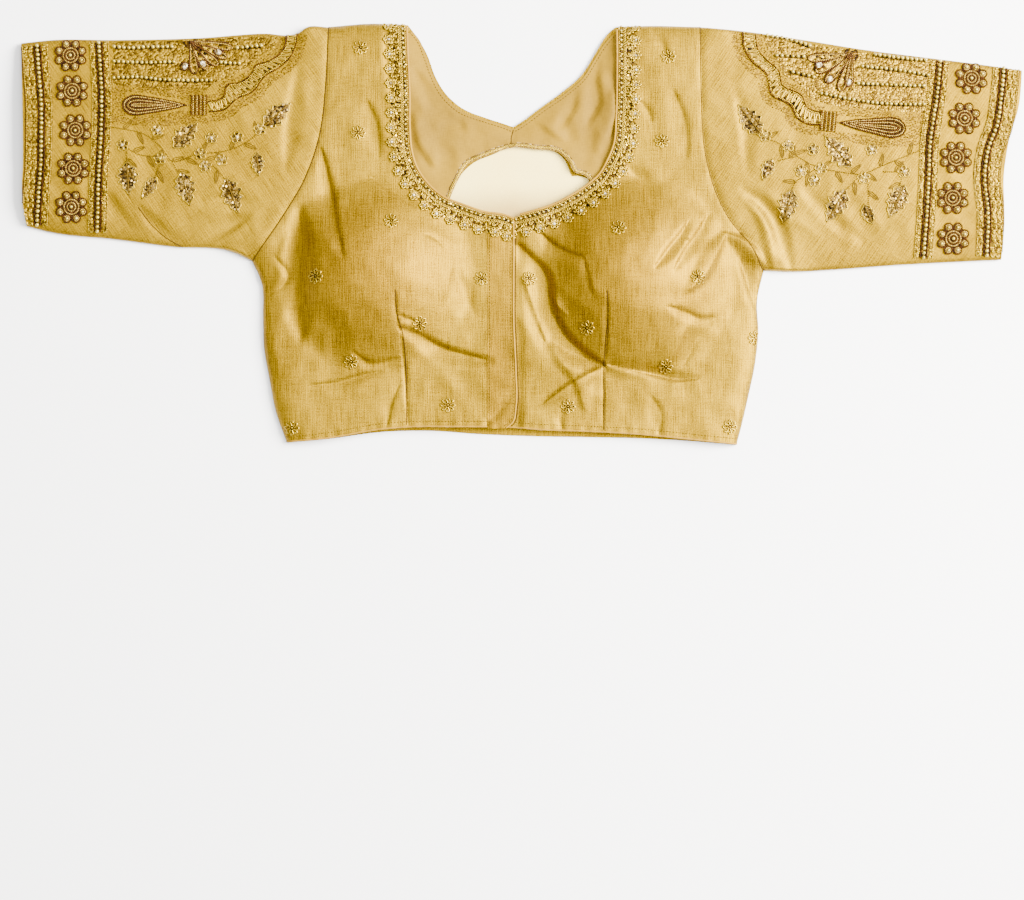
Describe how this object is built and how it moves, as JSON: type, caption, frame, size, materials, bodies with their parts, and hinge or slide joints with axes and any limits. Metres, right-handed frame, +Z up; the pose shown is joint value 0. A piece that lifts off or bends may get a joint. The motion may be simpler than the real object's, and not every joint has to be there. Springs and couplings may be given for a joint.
{
  "type": "choli blouse",
  "caption": "Cropped gold silk blouse lying flat, with padded cups, a deep round neck, a lapped front placket, beaded elbow sleeves and an arched net window in the back.",
  "frame": {"origin": "centre of the box of the laid-out blouse, on the surface it lies on", "axes": "+X toward the wearer's left sleeve, +Y toward the neck, +Z up out of the front"},
  "size_m": [0.919, 0.387, 0.0456],
  "materials": {
    "silk": "satin silk with slubs",
    "piping": "satin bias binding",
    "lining": "plain matt lining",
    "net": "sheer net",
    "patch": "silk closely covered with thread and beads",
    "bead_work": "dark copper and gold beads on thread",
    "gold_work": "gold sequins and metal thread"
  },
  "bodies": {
    "root": {"front_right_panel": "silk", "front_left_panel": "silk", "front_placket": "silk", "neck_piping_right": "piping", "neck_piping_left": "piping", "back_panel": "silk", "back_lining": "lining", "back_net": "net", "back_patch": "patch", "sleeve_right": "silk", "sleeve_left": "silk", "flower_right_1": "bead_work", "flower_right_2": "bead_work", "flower_right_3": "bead_work", "flower_right_4": "bead_work", "flower_right_5": "bead_work", "tassel_right": "bead_work", "arch_right": "gold_work", "lotus_right": "bead_work", "flower_left_1": "bead_work", "flower_left_2": "bead_work", "flower_left_3": "bead_work", "flower_left_4": "bead_work", "flower_left_5": "bead_work", "tassel_left": "bead_work", "arch_left": "gold_work", "lotus_left": "bead_work"}
  },
  "joints": []
}
